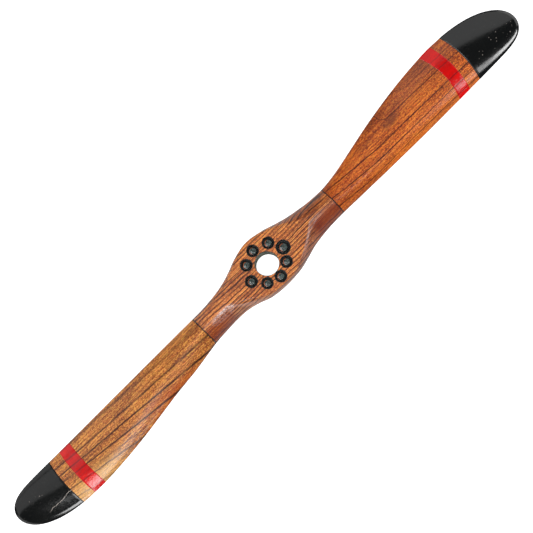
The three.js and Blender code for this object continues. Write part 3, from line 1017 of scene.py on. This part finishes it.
def hub_wood():
    g = Graph("hub_varnished_wood")
    x, y, z = g.split(g.place)
    far = g.size(x)
    grain = fibres(g)
    streak, fleck, pore, _ = grain
    tones = srgb(238, 154, 78), srgb(202, 114, 52), srgb(134, 64, 32)
    colour = wood_colour(g, grain, 1.25, *tones, 0.6)

    below = below_leaf(g, far, y)
    flank = g.step(below, 0.0, 0.0016)
    near = g.step(far, 0.135, 0.095)
    # Painted reflection over lighter end grain: a pale veil on the flanks below the leaf's -Y edge.
    pale_flank_sheen = g.times(flank, near, g.step(x, 0.03, -0.03, 0.15, 0.6))
    pale_flank_sheen = g.times(pale_flank_sheen, g.step(streak, 0.3, 0.7, 0.4, 1.0))
    colour = g.mix(pale_flank_sheen, colour, srgb(216, 172, 138))

    colour, wide = hub_lines(g, colour, pore, x, y, z)
    shade = g.mix(g.step(x, 0.0, 0.05), (0.86, 0.74, 0.66), (0.62, 0.5, 0.5))
    colour = g.mix(g.times(flank, near), colour, shade, "MULTIPLY")
    # Painted shade: the flanks beyond the leaf's +Y edge are drawn darker.
    colour = g.mix(ridge_flank_shade(g, x, y, far), colour, (0.68, 0.58, 0.6), "MULTIPLY")
    # Painted highlight: a pale line along the leaf's -Y edge, on the flank just below it.
    edge_highlight = g.times(flank, g.step(below, 0.009, 0.0025), g.step(far, 0.04, 0.07))
    edge_highlight = g.times(edge_highlight, g.step(far, 0.155, 0.1), g.step(fleck, 0.3, 0.7, 0.08, 0.36))
    colour = g.mix(edge_highlight, colour, srgb(222, 182, 170))
    colour = shank_sides(g, colour, grain, x, y, far)

    stain = g.math("MAXIMUM", hole_mask(g, g.noise(g.place, 260.0)), seam_mask(g, x, fleck))
    g.set(Base_Color=g.mix(stain, colour, srgb(14, 13, 12)))
    height = g.times_plus(stain, 0.6, wood_height(g, grain, wide))
    varnish(g, height, g.step(fleck, 0.3, 0.7, 0.3, 0.48), 0.7, 0.26, 0.0008)
    return g.material


def gloss_paint(g, colour, height, roughness, shine=0.5):
    g.set(
        Base_Color=colour,
        Roughness=roughness,
        Specular_IOR_Level=shine,
        Normal=g.bump(height, 0.0002, 0.14),
    )
    return g.material


def red_paint(side):
    """Red over the grain, so thin that the growth lines show through."""
    g = Graph(f"{side}_red_gloss_paint")
    line = growth_lines(g, side, growth_coordinate(g, side))
    streak, fleck, pore, cloud = fibres(g)
    if side == "left":
        dark, bright, shine = srgb(172, 8, 6), srgb(216, 12, 8), 0.5
    else:
        dark, bright, shine = srgb(180, 6, 4), srgb(220, 10, 7), 0.32
    colour = g.ramp(cloud, [(0.35, dark), (0.65, bright)])
    colour = g.mix(g.times(line, 0.75), colour, srgb(84, 12, 18))
    colour = g.mix(g.step(fleck, 0.5, 0.66, 0.0, 0.45), colour, srgb(136, 6, 8))
    height = g.minus(g.times(streak, 0.8), g.plus(pore, line))
    return gloss_paint(g, colour, height, g.step(fleck, 0.3, 0.7, 0.08, 0.2), shine)


def dust_mask(g, side, x, y, cloud):
    """Pale specks, most of them in one patch on each tip."""
    dust = g.tree.nodes.new("ShaderNodeTexVoronoi")
    dust.inputs["Scale"].default_value = DUST_SCALE
    g.link(g.place, dust.inputs["Vector"])
    some = g.step(g.split(dust.outputs["Color"])[0], 0.42, 0.5)
    patch = ellipse(g, x, y, SPECKS[side], g.minus(cloud, 0.5))
    dot = g.step(dust.outputs["Distance"], 0.26, 0.14)
    return g.times(some, g.step(patch, 1.3, 0.7, 0.1, 1.0), dot, 0.5)


def crack_mask(g, x, y, fleck):
    """A fine broken crack along the left tip."""
    wander = g.grain((60.0, 0.0, 0.0), 3.0, 0.7)
    path = g.times_plus(g.minus(wander, 0.5), 0.016, -0.0315)
    off = g.size(g.minus(y, path))
    return g.times(g.step(off, 0.0008, 0.0003), g.step(x, -0.556, -0.546), g.step(fleck, 0.36, 0.5))


def black_paint(side):
    g = Graph(f"{side}_tip_black_gloss_paint")
    x, y, _ = g.split(g.place)
    streak, fleck, _, cloud = fibres(g)
    colour = g.ramp(cloud, [(0.3, srgb(3, 4, 4)), (0.7, srgb(8, 9, 8))])
    colour = g.mix(dust_mask(g, side, x, y, cloud), colour, srgb(142, 134, 126))
    if side == "left":
        colour = g.mix(crack_mask(g, x, y, fleck), colour, srgb(150, 142, 134))
    height = g.times_plus(fleck, 0.4, g.times(streak, 0.6))
    return gloss_paint(g, colour, height, g.step(fleck, 0.3, 0.7, 0.07, 0.15))


def bore_paint():
    """Black paint on the bore's wall, drawn grey-green as a painted reflection and lightened as painted
    light where the wall lies in shade, with wear showing brown in front.
    """
    g = Graph("bore_black_paint")
    patch = g.noise(g.place, 90.0, 3.0)
    drip = g.grain((200.0, 200.0, 40.0), 2.0)
    z = g.split(g.place)[2]
    # Painted reflection and painted light: the grey-green ramp stands for the glossy black paint's
    # reflection, lightened for the wall's shade.
    colour = g.ramp(patch, [(0.35, srgb(86, 92, 86)), (0.65, srgb(166, 170, 156))])
    rim = g.step(g.times_plus(patch, 0.004, z), 0.0375, 0.0395)
    g.set(
        Base_Color=g.mix(g.times(rim, 0.85), colour, srgb(44, 28, 22)),
        Roughness=g.step(drip, 0.3, 0.7, 0.5, 0.66),
        IOR=1.2,
        Normal=g.bump(drip, 0.0004, 0.5),
    )
    return g.material


def plug_paint(index, hole):
    """Black-green paint with grey-green patches of painted reflection, a near-black ring of painted
    shade in the recess round it, and orange arcs on one side of the rim: rubbed-through wood and
    painted reflection.
    """
    g = Graph(f"bolt_plug_{index}_paint")
    hx, hy = bolt_place(hole)
    x, y, _ = g.split(g.place)
    dx = g.minus(x, hx * MM)
    dy = g.minus(y, hy * MM)
    low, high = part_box(f"bolt_plug_{index}")
    distance = g.math("SQRT", g.plus(g.times(dx, dx), g.times(dy, dy)))
    share = g.math("DIVIDE", distance, (high.x - low.x) / 2)
    patch = g.noise(g.place, 190.0)
    fine = g.noise(g.place, 420.0, 3.0, 0.65)
    # Painted reflection: the lighter grey-green patches stand for the glossy black paint's reflection.
    colour = g.ramp(fine, [(0.36, srgb(18, 27, 26)), (0.5, srgb(32, 44, 41)), (0.66, srgb(78, 94, 89))])
    # Painted shade over black paint: the outer ring, down in the recess, is drawn near black.
    uneven = g.times_plus(g.minus(patch, 0.5), 0.35, share)
    colour = g.mix(g.step(uneven, 0.74, 0.82), colour, srgb(7, 8, 8))
    # Rubbed wood and painted reflection: orange arcs at the ring's inner edge, on the upper-left side
    # only.
    rub_and_reflection = g.times(g.step(uneven, 0.62, 0.7), g.step(uneven, 0.84, 0.78))
    lit_side = g.step(g.minus(dx, dy), 0.001, -0.004)
    colour = g.mix(g.times(rub_and_reflection, lit_side), colour, srgb(146, 78, 46))
    return gloss_paint(g, colour, g.times(fine, 6.0), g.step(patch, 0.3, 0.7, 0.16, 0.3))


def metal(name, colour, roughness, scales):
    g = Graph(name)
    scratch = g.grain(scales, 3.0, 0.6)
    stain = g.step(g.noise(g.place, 120.0, 3.0), 0.45, 0.75, 0.0, 0.5)
    g.set(
        Base_Color=g.mix(stain, colour, tuple(c * 0.55 for c in colour)),
        Metallic=1.0,
        Roughness=g.step(scratch, 0.3, 0.7, roughness - 0.1, roughness + 0.12),
        Normal=g.bump(scratch, 0.00008, 0.5),
    )
    return g.material


# ------------------------------------------------------------
# The object


def give(piece, material):
    piece.data.materials.append(material)


def own(piece, body, node, material):
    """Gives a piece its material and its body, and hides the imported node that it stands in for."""
    give(piece, material)
    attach(piece, body)
    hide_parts(node)


own(make_hub(), "hub", "hub", hub_wood())
own(make_bore_paint(), "hub", "bore_paint", bore_paint())
for number, bolt_hole in enumerate(BOLT_HOLES, start=1):
    plug = make_plug(number, bolt_hole)
    own(plug, "hub", f"bolt_plug_{number}", plug_paint(number, bolt_hole))

steel = metal("zinc_plated_steel", srgb(170, 172, 174), 0.32, (40.0, 900.0, 900.0))
brass = metal("turned_brass", srgb(186, 148, 78), 0.34, (1500.0, 60.0, 60.0))

for name in SIGN:
    body = f"{name}_blade"
    own(make_blade(name), body, f"{name}_blade", blade_wood(name))
    red, cap = make_paint(name)
    own(red, body, f"{name}_stripe_paint", red_paint(name))
    own(cap, body, f"{name}_tip_paint", black_paint(name))
    own(make_stud(name), f"{name}_stud", f"{name}_stud", steel)
    own(make_insert(name, "hub_insert"), "hub", f"{name}_hub_insert", brass)
    own(make_insert(name, "blade_insert"), body, f"{name}_blade_insert", brass)

# ------------------------------------------------------------
# Stage: a floor, soft lights and the camera, in metres and degrees. The sensor is in millimetres.

CAMERA_TILT = 8.1
CAMERA_YAW = 2.48
CAMERA_DISTANCE = 3.70
CAMERA_ROLL = 45.4
VIEW_WIDTH = 0.8987
FRAME_SHIFT = (0.0007, 0.0051)
SENSOR = 36.0

FLOOR_HALF_SIZE = 12.0
FLOOR_GAP = 0.0006
WORLD_COLOUR = (0.9, 0.95, 1.0, 1.0)
WORLD_GLOW = 0.13

# Level panels that shine straight down: X from and to, Y from and to, height, brightness.
PANELS = {
    "left_soft_box": (-0.95, -0.42, 0.14, 0.74, 2.0, 10.8),
    "left_tip_soft_box": (-1.3, -0.95, -1.9, 0.05, 2.0, 13.0),
    "left_wide_panel": (-2.2, -0.78, 1.2, 2.8, 2.0, 0.85),
    "left_inner_panel": (-0.78, -0.3, 1.5, 2.8, 2.0, 0.85),
    "right_wide_panel": (0.45, 2.3, -0.36, 1.8, 2.0, 1.06),
    "right_strip": (0.92, 2.0, -2.0, -1.5, 2.0, 18.0),
    "left_overhead": (-0.4, -0.21, -1.3, -0.2, 3.2, 10.5),
    "right_overhead": (0.06, 0.4, -1.3, -0.15, 3.2, 5.0),
}

# Leaning boxes: place, the point they face, size, brightness.
BOXES = {
    "left_wall": ((-1.3, 3.3, 1.1), (-0.7, 0, 0.1), (2.6, 2.0), 0.85),
    "left_end_box": ((-2.9, 0.3, 1.4), (0, 0, 0), (2.4, 2.0), 1.5),
    "right_end_box": ((2.9, -0.3, 1.4), (0, 0, 0), (2.4, 2.0), 2.2),
}


def show_camera(tree, shader, other_shader, output):
    """Shows the camera one shader, and light and reflections the other."""
    path = tree.nodes.new("ShaderNodeLightPath")
    choice = tree.nodes.new("ShaderNodeMixShader")
    tree.links.new(path.outputs["Is Camera Ray"], choice.inputs[0])
    tree.links.new(other_shader.outputs[0], choice.inputs[1])
    tree.links.new(shader.outputs[0], choice.inputs[2])
    tree.links.new(choice.outputs[0], output.inputs[0])


def make_floor():
    """A grey floor that looks white to the camera."""
    half = FLOOR_HALF_SIZE
    bottom = cad_low[2] - FLOOR_GAP
    corners = [(-half, -half), (half, -half), (half, half), (-half, half)]
    mesh = bpy.data.meshes.new("floor")
    mesh.from_pydata([(x, y, bottom) for x, y in corners], [], [(0, 1, 2, 3)])
    floor = put("floor", mesh)
    g = Graph("pale_floor")
    g.set(Base_Color=(0.55, 0.55, 0.55, 1.0), Roughness=0.8, Specular_IOR_Level=0.1)
    glow = g.tree.nodes.new("ShaderNodeEmission")
    both = g.tree.nodes.new("ShaderNodeAddShader")
    g.link(g.shader.outputs[0], both.inputs[0])
    g.link(glow.outputs[0], both.inputs[1])
    show_camera(g.tree, both, g.shader, g.output)
    give(floor, g.material)


def camera_axes():
    tilt = math.radians(CAMERA_TILT)
    yaw = math.radians(CAMERA_YAW)
    level = math.cos(tilt)
    towards = Vector((-math.sin(yaw) * level, -math.sin(tilt), math.cos(yaw) * level))
    towards.normalize()
    span = Vector((1, 0, 0)) - towards * towards.x
    span.normalize()
    across = towards.cross(span)
    roll = math.radians(CAMERA_ROLL)
    right = span * math.cos(roll) - across * math.sin(roll)
    up = span * math.sin(roll) + across * math.cos(roll)
    return right, up, towards


def make_camera():
    right, up, towards = camera_axes()
    aim = Vector((0, 0, HUB_HIGH.z)) - up * FRAME_SHIFT[1] - right * FRAME_SHIFT[0]
    data = bpy.data.cameras.new("camera")
    data.sensor_width = SENSOR
    data.lens = SENSOR * CAMERA_DISTANCE / VIEW_WIDTH
    camera = put("camera", data)
    turn = Matrix((right, up, towards)).transposed().to_4x4()
    camera.matrix_world = Matrix.Translation(aim + towards * CAMERA_DISTANCE) @ turn
    bpy.context.scene.camera = camera


def make_light(name, place, aim, size, brightness):
    """A soft box at a place, turned to a point and equally bright all over, whatever its size."""
    data = bpy.data.lights.new(name, "AREA")
    data.shape = "RECTANGLE"
    data.size, data.size_y = size
    data.energy = brightness * math.pi * size[0] * size[1]
    light = put(name, data)
    back = Vector(place) - Vector(aim)
    turn = back.to_track_quat("Z", "Y").to_matrix().to_4x4()
    light.matrix_world = Matrix.Translation(Vector(place)) @ turn


def make_panel(name, x_start, x_end, y_start, y_end, height, brightness):
    middle = ((x_start + x_end) / 2, (y_start + y_end) / 2)
    size = (x_end - x_start, y_end - y_start)
    make_light(name, (*middle, height), (*middle, 0.0), size, brightness)


def make_world():
    """Dim for reflections, so that gloss stays deep, and white past the floor's edge."""
    world = bpy.data.worlds.new("studio")
    world.use_nodes = True
    bpy.context.scene.world = world
    tree = world.node_tree
    tree.nodes.clear()
    output = tree.nodes.new("ShaderNodeOutputWorld")
    dim = tree.nodes.new("ShaderNodeBackground")
    dim.inputs[0].default_value = WORLD_COLOUR
    dim.inputs[1].default_value = WORLD_GLOW
    white = tree.nodes.new("ShaderNodeBackground")
    white.inputs[0].default_value = (1.0, 1.0, 1.0, 1.0)
    show_camera(tree, white, dim, output)


bpy.context.scene.view_settings.view_transform = "Standard"
make_floor()
make_camera()
make_world()
for name, panel in PANELS.items():
    make_panel(name, *panel)
for name, box in BOXES.items():
    make_light(name, *box)
